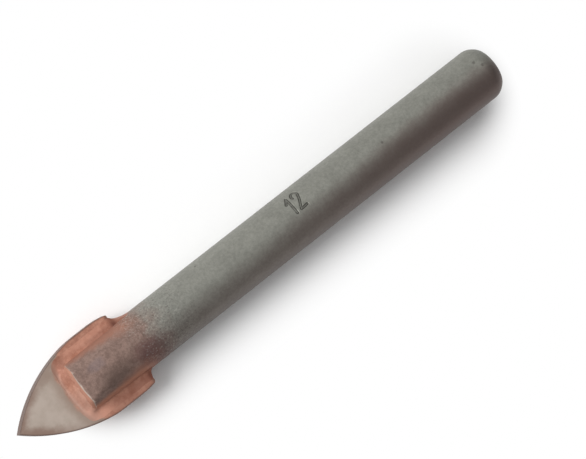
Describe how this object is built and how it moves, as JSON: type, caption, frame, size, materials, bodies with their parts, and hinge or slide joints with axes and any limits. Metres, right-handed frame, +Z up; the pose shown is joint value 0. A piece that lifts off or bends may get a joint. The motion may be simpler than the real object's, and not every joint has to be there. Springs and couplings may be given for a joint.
{
  "type": "glass and tile drill bit",
  "caption": "Spear-point drill bit for glass and tile: plain round steel shank with a slotted front end, a carbide spear plate brazed into the slot and copper-coloured braze fillets.",
  "frame": {"origin": "on the floor under the middle of the bit as it lies", "axes": "+X along the bit towards the rear end of the shank, the point at -X; +Z up, square to the carbide plate"},
  "size_m": [0.085, 0.012, 0.008],
  "materials": {
    "shank_steel": "matt sand-blasted grey, heat tinted brown behind the tip",
    "carbide": "matt sintered carbide",
    "braze_copper": "matt copper-coloured braze"
  },
  "bodies": {
    "root": {"shank": "shank_steel", "carbide_tip": "carbide", "braze": "braze_copper"}
  },
  "joints": []
}
